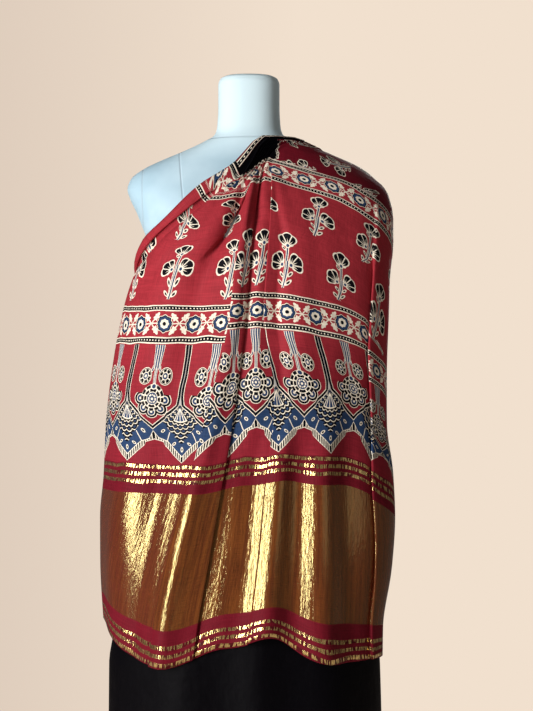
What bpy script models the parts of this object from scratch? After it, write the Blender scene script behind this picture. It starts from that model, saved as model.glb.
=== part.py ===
"""An ajrakh saree draped on a plain dress form with a pole and a round base.

The saree is one length of cloth, 1.10 m wide. A point of it is named by v, the distance along the
cloth (0 where the upper border of the end panel begins, growing towards the cloth's end), and by u,
the distance across it from the edge at the neck and waist (0) to the hem (1.10 m).
It starts under the skirt, goes once and a half round the form, climbs the back to the shoulder
at +X, and hangs spread over the front, which faces -Y. Metres, +Z up, origin under the base.
"""

import math

import bmesh
import bpy
import numpy as np

# The cloth
CLOTH_WIDTH = 1.10
CLOTH_THICKNESS = 0.0018
LAYER_STEP = 0.0055  # from one turn of the skirt to the turn inside it
TURN_WIDTH = 0.0070  # cloth taken by one half-circle turn of a fold
SETTLE_WIDTH = 0.070  # how soon the cloth sinks back to the body beside a fold
SIDE_DROP = 0.050  # how much lower the piece beyond the outermost fold hangs
FOLDED_ROW = 0.045  # rows of cloth from here to the end carry the pressed folds
END_ROW = 0.917
SHOULDER_ROW = -0.120  # the row that lies on top of the shoulder

# The stand
BASE_RADIUS = 0.150
BASE_THICKNESS = 0.012
POLE_RADIUS = 0.0125
FLANGE_RADIUS = 0.045
FLANGE_THICKNESS = 0.008
SEAT_GAP = 0.0003
FORM_BOTTOM = 0.800

ROUNDNESS = 2.4  # the power of the rounded-square curve of every level cut
FORM_SEGMENTS = 40

# Level cuts through the form: height, half width, depth to the front, depth to the back
FORM_CUTS = (
    (0.800, 0.150, 0.105, 0.105),
    (0.812, 0.168, 0.122, 0.120),
    (0.860, 0.184, 0.134, 0.132),
    (0.920, 0.186, 0.136, 0.134),
    (0.980, 0.170, 0.124, 0.120),
    (1.040, 0.143, 0.108, 0.102),
    (1.090, 0.130, 0.100, 0.092),
    (1.140, 0.137, 0.106, 0.096),
    (1.200, 0.155, 0.122, 0.106),
    (1.250, 0.169, 0.132, 0.111),
    (1.284, 0.183, 0.129, 0.112),
    (1.320, 0.197, 0.116, 0.107),
    (1.345, 0.209, 0.104, 0.099),
    (1.362, 0.214, 0.094, 0.090),
    (1.380, 0.208, 0.084, 0.082),
    (1.397, 0.187, 0.075, 0.076),
    (1.412, 0.156, 0.068, 0.071),
    (1.430, 0.113, 0.062, 0.066),
    (1.446, 0.079, 0.059, 0.062),
    (1.457, 0.061, 0.056, 0.058),
    (1.472, 0.056, 0.054, 0.055),
    (1.510, 0.054, 0.053, 0.053),
    (1.546, 0.054, 0.053, 0.053),
    (1.556, 0.051, 0.050, 0.050),
    (1.560, 0.044, 0.043, 0.043),
)

# Level cuts through the outside of the drape, over the end panel:
# height, left and right half width, depth to the front, depth to the back
DRAPE_CUTS = (
    (0.500, 0.246, 0.229, 0.172, 0.208),
    (0.600, 0.250, 0.231, 0.172, 0.208),
    (0.710, 0.256, 0.249, 0.172, 0.208),
    (0.790, 0.257, 0.254, 0.170, 0.206),
    (0.860, 0.251, 0.250, 0.168, 0.200),
    (0.950, 0.247, 0.238, 0.165, 0.184),
    (1.060, 0.234, 0.240, 0.162, 0.162),
    (1.140, 0.219, 0.244, 0.160, 0.146),
    (1.210, 0.202, 0.248, 0.158, 0.138),
    (1.270, 0.194, 0.254, 0.152, 0.134),
    (1.310, 0.200, 0.254, 0.140, 0.128),
    (1.345, 0.216, 0.248, 0.126, 0.118),
    (1.365, 0.220, 0.238, 0.116, 0.108),
    (1.380, 0.214, 0.222, 0.104, 0.098),
    (1.397, 0.194, 0.201, 0.092, 0.090),
    (1.412, 0.164, 0.171, 0.084, 0.083),
    (1.430, 0.121, 0.130, 0.077, 0.078),
    (1.447, 0.087, 0.096, 0.073, 0.075),
    (1.460, 0.074, 0.080, 0.070, 0.072),
)

# Level cuts through the skirt and the cloth that climbs the back, in the same columns
SKIRT_CUTS = (
    (0.000, 0.238, 0.234, 0.163, 0.190),
    (0.535, 0.238, 0.226, 0.158, 0.186),
    (0.590, 0.231, 0.220, 0.157, 0.185),
    (0.800, 0.228, 0.220, 0.154, 0.180),
    (0.900, 0.220, 0.216, 0.149, 0.170),
    (1.000, 0.194, 0.194, 0.138, 0.144),
    (1.060, 0.164, 0.164, 0.122, 0.118),
    (1.100, 0.146, 0.146, 0.114, 0.106),
    (1.140, 0.150, 0.152, 0.119, 0.110),
    (1.210, 0.172, 0.174, 0.136, 0.122),
    (1.270, 0.192, 0.194, 0.142, 0.126),
    (1.310, 0.206, 0.206, 0.132, 0.124),
    (1.345, 0.218, 0.218, 0.118, 0.114),
    (1.365, 0.220, 0.222, 0.107, 0.104),
    (1.380, 0.214, 0.216, 0.096, 0.094),
    (1.397, 0.194, 0.199, 0.088, 0.089),
    (1.412, 0.164, 0.169, 0.080, 0.082),
    (1.430, 0.121, 0.129, 0.075, 0.077),
    (1.447, 0.087, 0.096, 0.072, 0.074),
    (1.460, 0.074, 0.080, 0.070, 0.072),
)

# Pressed folds: place of the inner crease across the cloth, side (1 when the next panel lies
# over this one, -1 when it lies under), deepest tuck, and half of the cloth put away at each row
FOLD_ROWS = (0.045, 0.120, 0.190, 0.324, 0.470, 0.624, 0.740, 0.917)
FOLDS = (
    (0.051, -1, 0.016, (0.001, 0.010, 0.010, 0.0002, 0.0001, 0.0001, 0.0001, 0.0001)),
    (0.436, 1, 0.013, (0.001, 0.010, 0.040, 0.040, 0.036, 0.030, 0.022, 0.014)),
    (0.546, -1, 0.011, (0.001, 0.009, 0.039, 0.039, 0.040, 0.022, 0.014, 0.010)),
    (0.652, 1, 0.022, (0.001, 0.014, 0.033, 0.033, 0.007, 0.003, 0.003, 0.003)),
    (0.905, 1, 0.014, (0.001, 0.001, 0.006, 0.020, 0.020, 0.014, 0.008, 0.003)),
)

# Where seven threads of the cloth lie at each row: row, then for each thread its turn round the
# body in degrees (0 front, 90 at +X, 180 back) and its height in metres
THREADS = (0.000, 0.080, 0.170, 0.491, 0.602, 0.845, 1.100)
ROWS = (
    (-3.066, (810, 1.122), (810, 1.042), (810, 0.952), (810, 0.631), (810, 0.52), (810, 0.277), (810, 0.022)),
    (-1.000, (240, 1.122), (240, 1.042), (240, 0.952), (240, 0.631), (240, 0.52), (240, 0.277), (240, 0.022)),
    (-0.620, (203, 1.235), (202, 1.19), (201, 1.14), (196, 0.96), (194, 0.895), (191, 0.755), (188, 0.6)),
    (-0.350, (165, 1.335), (163, 1.31), (160, 1.28), (154, 1.19), (153, 1.15), (152, 1.07), (158, 0.96)),
    (-0.200, (140, 1.405), (138, 1.4), (136, 1.392), (130, 1.37), (128, 1.35), (128, 1.27), (142, 1.12)),
    (-0.120, (92, 1.446), (94, 1.443), (97, 1.44), (105, 1.428), (106, 1.42), (106, 1.36), (128, 1.19)),
    (-0.060, (22, 1.449), (27, 1.444), (32, 1.442), (46, 1.44), (52, 1.438), (80, 1.405), (120, 1.215)),
    (0.000, (-16, 1.399), (-6, 1.374), (-2, 1.378), (17, 1.404), (22, 1.407), (60, 1.374), (117, 1.21)),
    (0.068, (-33, 1.367), (-25, 1.343), (-20, 1.344), (6, 1.361), (13, 1.365), (55, 1.333), (116, 1.165)),
    (0.180, (-54, 1.297), (-49, 1.284), (-38, 1.266), (-1, 1.281), (9, 1.284), (50, 1.249), (116, 1.08)),
    (0.230, (-76, 1.258), (-69, 1.24), (-56, 1.226), (-3, 1.232), (7, 1.237), (50, 1.205), (117, 1.045)),
    (0.296, (-116, 1.186), (-99, 1.182), (-79, 1.17), (-5, 1.167), (5, 1.171), (50, 1.15), (118, 0.995)),
    (0.358, (-128, 1.125), (-107, 1.118), (-81, 1.111), (-7, 1.114), (4, 1.116), (51, 1.096), (118, 0.945)),
    (0.470, (-134, 1.000), (-111, 0.998), (-84, 0.997), (-15, 0.988), (3, 1.000), (53, 0.994), (118, 0.86)),
    (0.624, (-134, 0.85), (-111, 0.842), (-84, 0.839), (-26, 0.84), (-2, 0.854), (49, 0.854), (116, 0.75)),
    (0.740, (-133, 0.752), (-112, 0.742), (-86, 0.738), (-33, 0.727), (-6, 0.745), (49, 0.745), (114, 0.675)),
    (0.856, (-132, 0.66), (-113, 0.65), (-88, 0.644), (-39, 0.614), (-11, 0.641), (50, 0.62), (112, 0.598)),
    (0.917, (-132, 0.606), (-114, 0.596), (-90, 0.588), (-41, 0.55), (-14, 0.582), (51, 0.553), (112, 0.552)),
)

# How far the piece beyond the outermost fold has dropped, as a share of SIDE_DROP, and how wide
# the slope down to it is
DROP_ROWS = (0.045, 0.200, 0.310, 0.450, 0.574, 0.624, 0.856, 0.917)
DROP_SHARES = (0.0, 0.0, 1.0, 0.9, 0.55, 0.65, 0.1, 0.0)
DROP_WIDTHS = (0.04, 0.04, 0.04, 0.05, 0.15, 0.15, 0.15, 0.15)

# Where the hem of the end panel waves upwards: place across the cloth, half width, lift by row
WAVE_ROWS = (0.440, 0.574, 0.624, 0.740, 0.856, 0.917)
WAVES = (
    (0.220, 0.100, (0.0, 0.0, 0.0, 0.006, 0.018, 0.027)),
    (0.705, 0.055, (0.0, 0.005, 0.009, 0.013, 0.020, 0.032)),
)

# Soft ridges along the hanging panel: place across the cloth, half width, and height at each row
RIDGE_ROWS = (0.045, 0.120, 0.324, 0.470, 0.624, 0.917)
RIDGES = (
    (0.170, 0.050, (0.0, 0.002, 0.004, 0.004, 0.004, 0.006)),
    (0.290, 0.048, (0.0, 0.004, 0.005, 0.007, 0.010, 0.004)),
    (0.386, 0.030, (0.0, -0.010, -0.010, -0.008, -0.007, -0.006)),
    (0.480, 0.024, (0.0, 0.006, 0.010, 0.009, 0.011, 0.013)),
    (0.546, 0.014, (0.0, -0.002, -0.005, -0.004, -0.003, 0.0)),
    (0.605, 0.022, (0.0, 0.003, 0.007, 0.007, 0.001, 0.0)),
    (0.620, 0.022, (0.0, 0.0, 0.0, 0.0, -0.006, -0.007)),
    (0.668, 0.018, (0.0, -0.004, -0.008, -0.005, 0.0, 0.0)),
    (0.690, 0.026, (0.0, 0.0, 0.0, 0.002, 0.010, 0.012)),
    (0.740, 0.034, (0.0, 0.003, 0.006, 0.006, 0.0, 0.0)),
    (0.742, 0.020, (0.0, 0.0, 0.0, 0.0, -0.004, -0.006)),
    (0.797, 0.030, (0.0, 0.0, 0.0, 0.002, 0.010, 0.011)),
    (0.850, 0.026, (0.0, -0.002, -0.002, -0.004, -0.006, -0.006)),
    (0.945, 0.030, (0.0, 0.002, 0.003, 0.004, 0.005, 0.006)),
    (1.040, 0.034, (0.0, -0.002, -0.004, -0.004, -0.005, -0.005)),
)

# Soft upright folds of the skirt: turn of each ridge in degrees, its half width and its height
SKIRT_RIDGES = (
    (-38, 13, 0.015),
    (6, 12, 0.013),
    (44, 11, 0.014),
    (84, 12, 0.010),
    (122, 12, 0.015),
    (160, 11, 0.012),
    (198, 12, 0.014),
    (236, 12, 0.013),
    (281, 12, 0.012),
)
SKIRT_RIDGE_HEIGHTS = (0.0, 0.60, 1.00, 1.50)
SKIRT_RIDGE_SHARES = (1.0, 0.7, 0.0, 0.0)

# How finely the solid is divided
SKIRT_STEPS = 58  # every 10 degrees, so that the points of both turns lie behind each other
BACK_STEPS = 30
FOLDED_STEPS = 26
TURN_PLACES = (-0.5, -0.17, 0.17, 0.5)
PANEL_STEPS = (1, 5, 0, 1, 7, 2)
PLAIN_STEPS = 13
PROBE_STEP = 0.001


def eased(at, knots, values):
    """A smooth curve through the values, which never swings past two neighbours."""
    at = np.asarray(at, float)
    knots = np.asarray(knots, float)
    values = np.asarray(values, float)
    width = np.diff(knots)
    slope = np.diff(values) / width
    before, after = slope[:-1], slope[1:]
    bends_one_way = before * after > 0
    tangent = np.zeros_like(values)
    both = np.where(bends_one_way, before + after, 1.0)
    tangent[1:-1] = np.where(bends_one_way, 2 * before * after / both, 0.0)
    tangent[0], tangent[-1] = slope[0], slope[-1]
    cell = np.clip(np.searchsorted(knots, at) - 1, 0, len(width) - 1)
    share = np.clip((at - knots[cell]) / width[cell], 0, 1)
    rise = share * share * (3 - 2 * share)
    level = values[cell] * (1 - rise) + values[cell + 1] * rise
    leaving = share * (1 - share) ** 2 * tangent[cell]
    arriving = share**2 * (1 - share) * tangent[cell + 1]
    return level + width[cell] * (leaving - arriving)


def smooth_step(share):
    share = np.clip(share, 0, 1)
    return share * share * (3 - 2 * share)


def level_cut(cuts, turn, height):
    """The point of a level cut that lies in the direction of turn, in radians from the front."""
    columns = np.array(cuts)
    left, right, front, back = (
        eased(height, columns[:, 0], columns[:, i]) for i in (1, 2, 3, 4)
    )
    across, depth = np.sin(turn), np.cos(turn)
    side = np.where(across < 0, left, right)
    face = np.where(depth > 0, front, back)
    reach = (abs(across / side) ** ROUNDNESS + abs(depth / face) ** ROUNDNESS) ** (-1 / ROUNDNESS)
    return np.stack([reach * across, -reach * depth, height + 0 * reach], axis=-1)


def row_of_folds(v):
    """The folds met along one row: where cloth (u) and its folded run meet, and each turn."""
    cloth, run, turns = [0.0], [0.0], []
    for crease, side, deepest, hidden_by_row in FOLDS:
        hidden = float(eased(v, FOLD_ROWS, hidden_by_row))
        tuck = min(hidden, deepest)
        start = run[-1] + crease - hidden - cloth[-1]
        cloth += [crease - hidden, crease, crease + hidden]
        run += [start, start + tuck, start + 2 * tuck]
        first = start + tuck if side > 0 else start
        turns.append((first, first + tuck, side))
    run.append(run[-1] + CLOTH_WIDTH - cloth[-1])
    cloth.append(CLOTH_WIDTH)
    return cloth, run, turns


def lay_row(turns, length):
    """How far the folded run gets across the body, and how high it lies, at each probe."""
    probe = np.append(np.arange(0, length, PROBE_STEP), length)
    heading = np.zeros_like(probe)
    for first, second, side in turns:
        turned = smooth_step((probe - first) / TURN_WIDTH + 0.5)
        returned = smooth_step((probe - second) / TURN_WIDTH + 0.5)
        heading += side * math.pi * (turned - returned)
    gaps = np.diff(probe)
    level = np.cos(heading)
    rising = np.sin(heading)
    reach = np.append(0, np.cumsum(gaps * (level[1:] + level[:-1]) / 2))
    lift = np.append(0, np.cumsum(gaps * (rising[1:] + rising[:-1]) / 2))
    sink = np.zeros_like(probe)
    for first, second, side in turns:
        before, after = np.interp((first - TURN_WIDTH, second + TURN_WIDTH), probe, lift)
        clear_of_tuck = reach - np.interp(first, probe, reach) - TURN_WIDTH / 2
        sink += (after - before) * smooth_step(clear_of_tuck / SETTLE_WIDTH) * (probe > second)
    return probe, reach, lift - sink


def columns_of_row(v):
    """Places along the folded run where the solid has a point: few on panels, more in turns."""
    cloth, run, turns = row_of_folds(v)
    places = [0.0]
    for (first, second, side), steps in zip(turns, PANEL_STEPS):
        apart = max(second - first, TURN_WIDTH * 1.15)
        middle = (first + second) / 2
        bends = [middle - apart / 2 + TURN_WIDTH * share for share in TURN_PLACES]
        bends += [middle + apart / 2 + TURN_WIDTH * share for share in TURN_PLACES]
        places += list(np.linspace(places[-1], bends[0], steps + 2)[1:-1])
        places += bends + [bends[-1] + apart]
    places += list(np.linspace(places[-1], run[-1], PANEL_STEPS[-1] + 2)[1:])
    return np.array(places)


def soft_ridges(u, v):
    """Height of the soft ridges of the hanging panel."""
    height = np.zeros_like(u)
    for place, half_width, by_row in RIDGES:
        top = eased(v, RIDGE_ROWS, by_row)
        height += top * np.exp(-(((u - place) / half_width) ** 2))
    return height


def hem_waves(u, v):
    """How much higher the cloth hangs where its end edge waves upwards."""
    lift = np.zeros_like(u)
    for place, half_width, by_row in WAVES:
        lift += eased(v, WAVE_ROWS, by_row) * np.exp(-(((u - place) / half_width) ** 2))
    return lift * (v > WAVE_ROWS[0])


def side_drop(u, v):
    """How much lower the cloth hangs beyond the outermost fold."""
    width = eased(v, DROP_ROWS, DROP_WIDTHS)
    reached = smooth_step((u - FOLDS[-1][0]) / width + 0.5)
    return SIDE_DROP * eased(v, DROP_ROWS, DROP_SHARES) * reached


def skirt_ridges(turn, height):
    """Height of the skirt's upright folds, the same in every layer."""
    total = np.zeros_like(turn)
    for place, half_width, top in SKIRT_RIDGES:
        away = (np.degrees(turn) - place + 180) % 360 - 180
        total += top * np.exp(-((away / half_width) ** 2))
    return total * eased(height, SKIRT_RIDGE_HEIGHTS, SKIRT_RIDGE_SHARES)


def drape_surface(turn, height, over):
    """A point of the body of cloth: of the skirt (over 0), of the hanging panel (over 1)."""
    inner = level_cut(SKIRT_CUTS, turn, height)
    outer = level_cut(DRAPE_CUTS, turn, height)
    return inner + (outer - inner) * over


def outward(turn, height, over):
    """The direction straight out of the body of cloth."""
    nudge = 0.002
    round_it = drape_surface(turn + nudge, height, over) - drape_surface(turn - nudge, height, over)
    up_it = drape_surface(turn, height + nudge, over) - drape_surface(turn, height - nudge, over)
    normal = np.cross(round_it, up_it)
    return normal / np.linalg.norm(normal, axis=-1, keepdims=True)


def cloth_row(v, run_places):
    """The points of the row of cloth at v, at the given places along its folded run."""
    cloth, run, turns = row_of_folds(max(v, FOLDED_ROW))
    if v < FOLDED_ROW:
        turns = []
        run = list(cloth)
    probe, reach, lift = lay_row(turns, run[-1])
    u = np.interp(run_places, run, cloth)
    across = np.interp(run_places, probe, reach)
    thread_reach = np.interp(np.interp(THREADS, cloth, run), probe, reach)
    table_rows = [row[0] for row in ROWS]
    turn_at = [eased(v, table_rows, [row[i + 1][0] for row in ROWS]) for i in range(len(THREADS))]
    height_at = [eased(v, table_rows, [row[i + 1][1] for row in ROWS]) for i in range(len(THREADS))]
    turn = np.radians(eased(across, thread_reach, turn_at))
    height = eased(across, thread_reach, height_at)
    height = height + hem_waves(u, v) - side_drop(u, v)
    over = float(smooth_step((v - ROWS[1][0]) / (SHOULDER_ROW - ROWS[1][0])))
    stack = LAYER_STEP * np.clip(np.degrees(turn) - ROWS[1][1][0], 0, None) / 360
    flat_place = np.interp(across, thread_reach, THREADS)
    rise = np.interp(run_places, probe, lift) + soft_ridges(flat_place, v) * (v > FOLDED_ROW)
    rise = rise - stack * (v <= ROWS[1][0]) + skirt_ridges(turn, height) * (1 - over)
    return drape_surface(turn, height, over) + rise[:, None] * outward(turn, height, over)


def add_row(mesh, points):
    return [mesh.verts.new(point) for point in points]


def join_rows(mesh, lower, upper):
    """Faces between two rows of the same number of points."""
    for i in range(len(lower) - 1):
        mesh.faces.new((lower[i], lower[i + 1], upper[i + 1], upper[i]))


def join_to_finer(mesh, coarse, fine):
    """Triangles between a row of few points and a row of many, in step with each other."""
    i, j = 0, 0
    while i < len(coarse) - 1 or j < len(fine) - 1:
        along_coarse = (coarse[min(i + 1, len(coarse) - 1)].co - fine[j].co).length
        along_fine = (fine[min(j + 1, len(fine) - 1)].co - coarse[i].co).length
        if j == len(fine) - 1 or (i < len(coarse) - 1 and along_coarse < along_fine):
            mesh.faces.new((coarse[i], coarse[i + 1], fine[j]))
            i += 1
        else:
            mesh.faces.new((coarse[i], fine[j + 1], fine[j]))
            j += 1


def cloth_mesh():
    """The sheet of the saree, row by row from the inner end of the skirt to the free end."""
    mesh = bmesh.new()
    plain = np.linspace(0, CLOTH_WIDTH, PLAIN_STEPS)
    skirt = np.linspace(ROWS[0][0], ROWS[1][0], SKIRT_STEPS)
    back = np.linspace(ROWS[1][0], FOLDED_ROW, BACK_STEPS + 1)[1:-1]
    rows = [add_row(mesh, cloth_row(v, plain)) for v in np.concatenate([skirt, back])]
    for lower, upper in zip(rows, rows[1:]):
        join_rows(mesh, lower, upper)
    folded = [
        add_row(mesh, cloth_row(v, columns_of_row(v)))
        for v in np.linspace(FOLDED_ROW, END_ROW, FOLDED_STEPS + 1)
    ]
    join_to_finer(mesh, rows[-1], folded[0])
    for lower, upper in zip(folded, folded[1:]):
        join_rows(mesh, lower, upper)
    return mesh


def material(name, colour, roughness, metallic=0.0):
    made = bpy.data.materials.new(name)
    made.use_nodes = True
    shader = made.node_tree.nodes["Principled BSDF"]
    shader.inputs["Base Color"].default_value = (*colour, 1.0)
    shader.inputs["Roughness"].default_value = roughness
    shader.inputs["Metallic"].default_value = metallic
    return made


def add_object(name, mesh, finish):
    bmesh.ops.recalc_face_normals(mesh, faces=mesh.faces)
    data = bpy.data.meshes.new(name)
    mesh.to_mesh(data)
    mesh.free()
    data.shade_smooth()
    made = bpy.data.objects.new(name, data)
    data.materials.append(finish)
    bpy.context.scene.collection.objects.link(made)
    return made


def add_saree():
    made = add_object("saree", cloth_mesh(), material("block_printed_silk", (0.20, 0.02, 0.03), 0.6))
    thick = made.modifiers.new("thickness", "SOLIDIFY")
    thick.thickness = CLOTH_THICKNESS
    thick.offset = 0.0
    return made


def add_torso():
    """The padded body: closed rings, one for each level cut, with a flat foot and neck top."""
    mesh = bmesh.new()
    rings = []
    for height, half_width, front, back in FORM_CUTS:
        turns = np.linspace(0, math.tau, FORM_SEGMENTS, endpoint=False)
        sizes = (half_width, half_width, front, back)
        cuts = ((height - 1, *sizes), (height + 1, *sizes))
        rings.append(add_row(mesh, level_cut(cuts, turns, np.full(FORM_SEGMENTS, height))))
    for lower, upper in zip(rings, rings[1:]):
        join_rows(mesh, lower + lower[:1], upper + upper[:1])
    mesh.faces.new(rings[0])
    mesh.faces.new(rings[-1])
    return add_object("torso", mesh, material("form_canvas", (0.62, 0.80, 0.88), 0.85))


def turned(name, profile, segments, finish):
    """A solid turned round the upright axis from its (radius, height) profile, bottom to top."""
    mesh = bmesh.new()
    chain = [mesh.verts.new((radius, 0, height)) for radius, height in profile]
    edges = [mesh.edges.new(pair) for pair in zip(chain, chain[1:])]
    bmesh.ops.spin(
        mesh,
        geom=chain + edges,
        cent=(0, 0, 0),
        axis=(0, 0, 1),
        angle=math.tau,
        steps=segments,
        use_merge=True,
    )
    bmesh.ops.remove_doubles(mesh, verts=mesh.verts, dist=0.00001)
    return add_object(name, mesh, finish)


def add_pole():
    """The pole, with a round plate at its foot and one under the body."""
    foot = BASE_THICKNESS + SEAT_GAP
    top = FORM_BOTTOM - SEAT_GAP
    profile = (
        (0, foot),
        (FLANGE_RADIUS, foot),
        (FLANGE_RADIUS, foot + FLANGE_THICKNESS),
        (POLE_RADIUS, foot + 2 * FLANGE_THICKNESS),
        (POLE_RADIUS, top - 2 * FLANGE_THICKNESS),
        (FLANGE_RADIUS, top - FLANGE_THICKNESS),
        (FLANGE_RADIUS, top),
        (0, top),
    )
    return turned("pole", profile, 24, material("satin_steel", (0.55, 0.55, 0.56), 0.35, 1.0))


def add_base():
    edge = 0.004
    profile = (
        (0, 0),
        (BASE_RADIUS - edge, 0),
        (BASE_RADIUS, edge),
        (BASE_RADIUS, BASE_THICKNESS - edge),
        (BASE_RADIUS - edge, BASE_THICKNESS),
        (0, BASE_THICKNESS),
    )
    return turned("base", profile, 48, material("painted_steel", (0.70, 0.71, 0.72), 0.5))


def main():
    for existing in list(bpy.data.objects):
        bpy.data.objects.remove(existing)
    add_base()
    add_pole()
    add_torso()
    add_saree()


main()
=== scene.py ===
"""Looks of a saree with an ajrakh block print, draped on a canvas dress form.

The saree is one fine sheet that follows the folds of its solid. A point of it is named by v, the
distance along the cloth (0 where the upper border of the end panel begins), and u, the distance
across it from the edge at the neck and waist (0) to the hem (1.10). Its UV map holds the place in
the print, in metres, which is the same apart from what the folds take up. The print is drawn from
that map in millimetres, with its own shapes for each block. The front faces -Y. Metres, +Z up.
"""
import functools
import math

import bmesh
import bpy
import numpy as np
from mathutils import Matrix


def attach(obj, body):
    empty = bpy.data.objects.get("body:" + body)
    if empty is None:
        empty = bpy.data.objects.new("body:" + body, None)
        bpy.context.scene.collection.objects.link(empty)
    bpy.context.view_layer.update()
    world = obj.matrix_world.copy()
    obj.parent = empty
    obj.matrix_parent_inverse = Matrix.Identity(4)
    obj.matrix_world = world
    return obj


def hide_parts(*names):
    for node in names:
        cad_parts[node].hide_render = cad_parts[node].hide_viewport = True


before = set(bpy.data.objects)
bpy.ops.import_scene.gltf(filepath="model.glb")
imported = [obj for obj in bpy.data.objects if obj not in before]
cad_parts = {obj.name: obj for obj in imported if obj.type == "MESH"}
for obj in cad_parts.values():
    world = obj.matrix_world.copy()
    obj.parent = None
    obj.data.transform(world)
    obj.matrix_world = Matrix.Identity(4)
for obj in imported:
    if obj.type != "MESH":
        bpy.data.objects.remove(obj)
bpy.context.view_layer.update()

# The cloth
CLOTH_WIDTH = 1.10
SILK_THICKNESS = 0.0006
LAYER_STEP = 0.0055  # from one turn of the skirt to the turn inside it
TURN_WIDTH = 0.0070  # cloth taken by one half-circle turn of a fold
TURN_SPACING = 1.15  # the turns of a fold stay at least this many turn widths apart
SETTLE_WIDTH = 0.070  # how soon the cloth sinks back to the body beside a fold
SIDE_DROP = 0.050  # how much lower the piece beyond the outermost fold hangs
FOLDED_ROW = 0.045  # rows of cloth from here to the end carry the pressed folds
SHOULDER_ROW = -0.120  # the row that lies on top of the shoulder
TISSUE_ROWS = (0.624, 0.856)  # the woven gold part of the end panel
END_ROW = 0.917

ROUNDNESS = 2.4  # the power of the rounded-square curve of every level cut

# Level cuts through the form: height, half width, depth to the front, depth to the back
FORM_CUTS = (
    (0.800, 0.150, 0.105, 0.105),
    (0.812, 0.168, 0.122, 0.120),
    (0.860, 0.184, 0.134, 0.132),
    (0.920, 0.186, 0.136, 0.134),
    (0.980, 0.170, 0.124, 0.120),
    (1.040, 0.143, 0.108, 0.102),
    (1.090, 0.130, 0.100, 0.092),
    (1.140, 0.137, 0.106, 0.096),
    (1.200, 0.155, 0.122, 0.106),
    (1.250, 0.169, 0.132, 0.111),
    (1.284, 0.183, 0.129, 0.112),
    (1.320, 0.197, 0.116, 0.107),
    (1.345, 0.209, 0.104, 0.099),
    (1.362, 0.214, 0.094, 0.090),
    (1.380, 0.208, 0.084, 0.082),
    (1.397, 0.187, 0.075, 0.076),
    (1.412, 0.156, 0.068, 0.071),
    (1.430, 0.113, 0.062, 0.066),
    (1.446, 0.079, 0.059, 0.062),
    (1.457, 0.061, 0.056, 0.058),
    (1.472, 0.056, 0.054, 0.055),
    (1.510, 0.054, 0.053, 0.053),
    (1.546, 0.054, 0.053, 0.053),
    (1.556, 0.051, 0.050, 0.050),
    (1.560, 0.044, 0.043, 0.043),
)

# Level cuts through the outside of the drape, over the end panel:
# height, left and right half width, depth to the front, depth to the back
DRAPE_CUTS = (
    (0.500, 0.246, 0.229, 0.172, 0.208),
    (0.600, 0.250, 0.231, 0.172, 0.208),
    (0.710, 0.256, 0.249, 0.172, 0.208),
    (0.790, 0.257, 0.254, 0.170, 0.206),
    (0.860, 0.251, 0.250, 0.168, 0.200),
    (0.950, 0.247, 0.238, 0.165, 0.184),
    (1.060, 0.234, 0.240, 0.162, 0.162),
    (1.140, 0.219, 0.244, 0.160, 0.146),
    (1.210, 0.202, 0.248, 0.158, 0.138),
    (1.270, 0.194, 0.254, 0.152, 0.134),
    (1.310, 0.200, 0.254, 0.140, 0.128),
    (1.345, 0.216, 0.248, 0.126, 0.118),
    (1.365, 0.220, 0.238, 0.116, 0.108),
    (1.380, 0.214, 0.222, 0.104, 0.098),
    (1.397, 0.194, 0.201, 0.092, 0.090),
    (1.412, 0.164, 0.171, 0.084, 0.083),
    (1.430, 0.121, 0.130, 0.077, 0.078),
    (1.447, 0.087, 0.096, 0.073, 0.075),
    (1.460, 0.074, 0.080, 0.070, 0.072),
)

# Level cuts through the skirt and the cloth that climbs the back, in the same columns
SKIRT_CUTS = (
    (0.000, 0.238, 0.234, 0.163, 0.190),
    (0.535, 0.238, 0.226, 0.158, 0.186),
    (0.590, 0.231, 0.220, 0.157, 0.185),
    (0.800, 0.228, 0.220, 0.154, 0.180),
    (0.900, 0.220, 0.216, 0.149, 0.170),
    (1.000, 0.194, 0.194, 0.138, 0.144),
    (1.060, 0.164, 0.164, 0.122, 0.118),
    (1.100, 0.146, 0.146, 0.114, 0.106),
    (1.140, 0.150, 0.152, 0.119, 0.110),
    (1.210, 0.172, 0.174, 0.136, 0.122),
    (1.270, 0.192, 0.194, 0.142, 0.126),
    (1.310, 0.206, 0.206, 0.132, 0.124),
    (1.345, 0.218, 0.218, 0.118, 0.114),
    (1.365, 0.220, 0.222, 0.107, 0.104),
    (1.380, 0.214, 0.216, 0.096, 0.094),
    (1.397, 0.194, 0.199, 0.088, 0.089),
    (1.412, 0.164, 0.169, 0.080, 0.082),
    (1.430, 0.121, 0.129, 0.075, 0.077),
    (1.447, 0.087, 0.096, 0.072, 0.074),
    (1.460, 0.074, 0.080, 0.070, 0.072),
)

# Pressed folds: place of the inner crease across the cloth, side (1 when the next panel lies
# over this one, -1 when it lies under), deepest tuck, and half of the cloth put away at each row
FOLD_ROWS = (0.045, 0.120, 0.190, 0.324, 0.470, 0.624, 0.740, 0.917)
FOLDS = (
    (0.051, -1, 0.016, (0.001, 0.010, 0.010, 0.0002, 0.0001, 0.0001, 0.0001, 0.0001)),
    (0.436, 1, 0.013, (0.001, 0.010, 0.040, 0.040, 0.036, 0.030, 0.022, 0.014)),
    (0.546, -1, 0.011, (0.001, 0.009, 0.039, 0.039, 0.040, 0.022, 0.014, 0.010)),
    (0.652, 1, 0.022, (0.001, 0.014, 0.033, 0.033, 0.007, 0.003, 0.003, 0.003)),
    (0.905, 1, 0.014, (0.001, 0.001, 0.006, 0.020, 0.020, 0.014, 0.008, 0.003)),
)

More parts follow.
